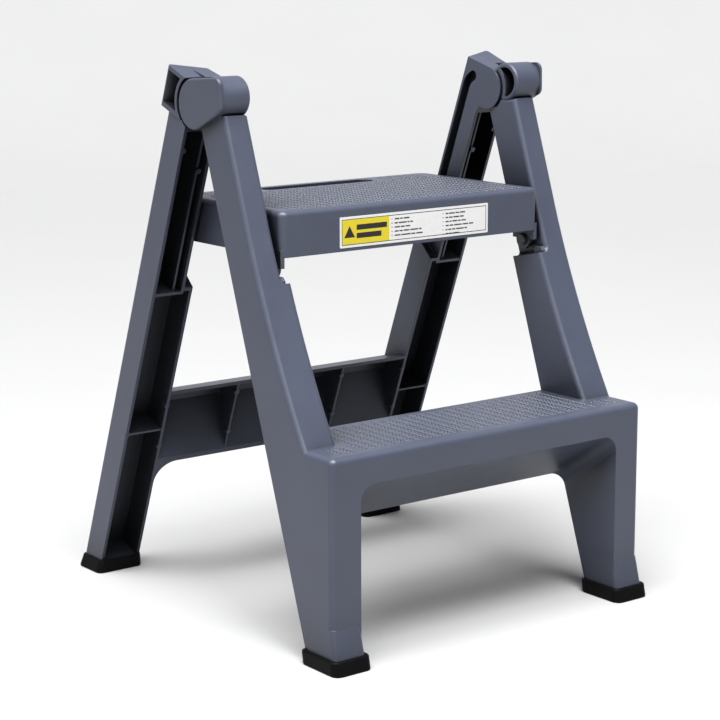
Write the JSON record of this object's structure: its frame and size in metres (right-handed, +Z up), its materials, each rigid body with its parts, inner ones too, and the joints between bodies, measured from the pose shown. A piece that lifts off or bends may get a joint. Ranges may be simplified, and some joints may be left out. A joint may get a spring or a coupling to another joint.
{
  "type": "folding step stool",
  "caption": "Folding step stool in moulded plastic. The platform and the rear frame fold flat against the front frame, and the legs end in rubber feet.",
  "frame": {"origin": "on the floor, in the middle of the box round the stool as it stands open", "axes": "+X across the stool, to the right of a person who faces it from the front; +Y to the rear; +Z up"},
  "size_m": [0.452, 0.4989, 0.595],
  "materials": {
    "shell_plastic": "fine-grained slate blue-grey polypropylene",
    "boot_rubber": "matt black rubber",
    "pin_steel": "zinc-plated steel",
    "bearing_plastic": "black acetal",
    "label_print": "printed white film"
  },
  "bodies": {
    "front_frame": {"front_frame": "shell_plastic", "foot_front_left": "boot_rubber", "foot_front_right": "boot_rubber", "hinge_pin_left": "pin_steel", "hinge_pin_right": "pin_steel", "hinge_washer_left": "bearing_plastic", "hinge_washer_right": "bearing_plastic", "platform_pin_left": "bearing_plastic", "platform_pin_right": "bearing_plastic", "platform_pin_ring_left": "pin_steel", "platform_pin_ring_right": "pin_steel"},
    "rear_frame": {"rear_frame": "shell_plastic", "foot_rear_left": "boot_rubber", "foot_rear_right": "boot_rubber"},
    "platform": {"platform": "shell_plastic", "safety_label": "label_print"},
    "guides": {"guide_pin_left": "pin_steel", "guide_pin_right": "pin_steel", "guide_shoe_left": "bearing_plastic", "guide_shoe_right": "bearing_plastic"}
  },
  "joints": [
    {"name": "frame_fold", "type": "hinge", "parent": "front_frame", "child": "rear_frame", "pos_m": [0, -0.008, 0.556], "axis": [-1, 0, 0], "range_deg": [0, 38]},
    {"name": "platform_fold", "type": "hinge", "parent": "front_frame", "child": "platform", "pos_m": [0, -0.084, 0.39], "axis": [1, 0, 0], "range_deg": [0, 56.6]},
    {"name": "guide_slide", "type": "slide", "parent": "rear_frame", "child": "guides", "axis": [0, -0.3567, 0.9342], "range_m": [0, 0.185]}
  ],
  "couplings": [
    {"joint": "platform_fold", "follows": "frame_fold", "ratio": 1.4879},
    {"joint": "guide_slide", "follows": "frame_fold", "m_per_rad": 0.27789}
  ]
}
